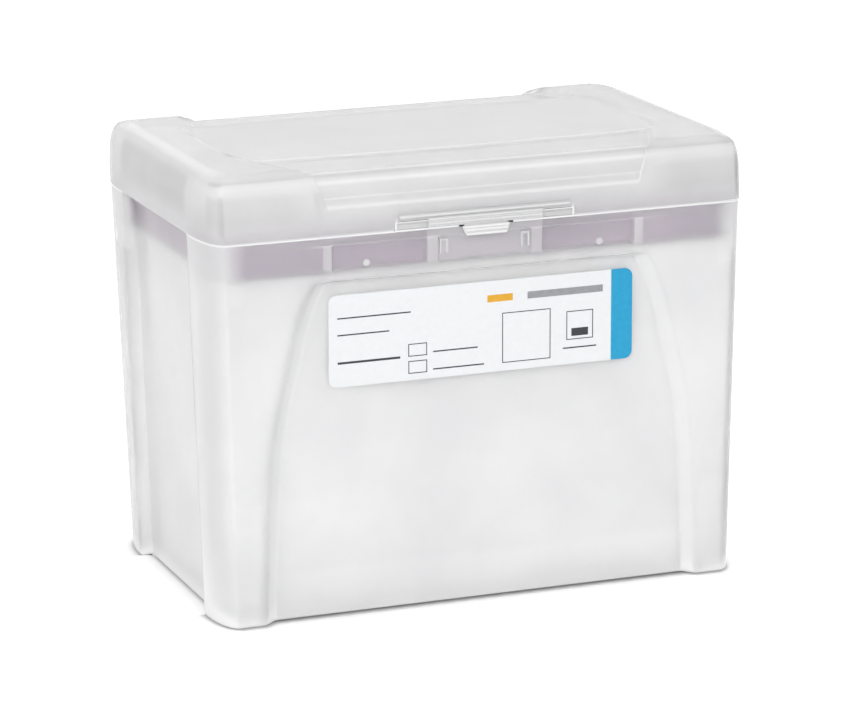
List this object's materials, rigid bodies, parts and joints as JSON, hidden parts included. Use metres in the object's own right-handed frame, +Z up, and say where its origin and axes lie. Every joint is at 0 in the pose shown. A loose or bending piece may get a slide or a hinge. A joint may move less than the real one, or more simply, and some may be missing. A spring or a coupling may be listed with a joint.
{
  "type": "pipette tip box",
  "caption": "Tall frosted rack box with a hinged snap lid, a lilac drop-in tray and a full load of long clear pipette tips; blank label on the front.",
  "frame": {"origin": "on the ground under the middle of the closed box's outline, hinge and latch included", "axes": "+Z up, -Y towards the labelled front with the latch, +Y towards the hinge, +X to the right as seen from the front"},
  "size_m": [0.127, 0.0892, 0.1017],
  "materials": {
    "frosted_base": "frosted translucent natural polypropylene",
    "frosted_lid": "frosted translucent natural polypropylene, a little glossier on top",
    "lilac_tray": "opaque lilac moulded plastic, fine satin",
    "label_film": "smooth white label stock with a blue band",
    "clear_tips": "smooth natural polypropylene"
  },
  "bodies": {
    "base": {"base_box": "frosted_base", "tip_tray": "lilac_tray", "front_label": "label_film", "tips_column_01": "clear_tips", "tips_column_02": "clear_tips", "tips_column_03": "clear_tips", "tips_column_04": "clear_tips", "tips_column_05": "clear_tips", "tips_column_06": "clear_tips", "tips_column_07": "clear_tips", "tips_column_08": "clear_tips", "tips_column_09": "clear_tips", "tips_column_10": "clear_tips", "tips_column_11": "clear_tips", "tips_column_12": "clear_tips"},
    "lid": {"hinged_lid": "frosted_lid"}
  },
  "joints": [
    {"name": "lid_hinge", "type": "hinge", "parent": "base", "child": "lid", "pos_m": [0, 0.04305, 0.087], "axis": [-1, 0, 0], "range_deg": [0, 110]}
  ]
}
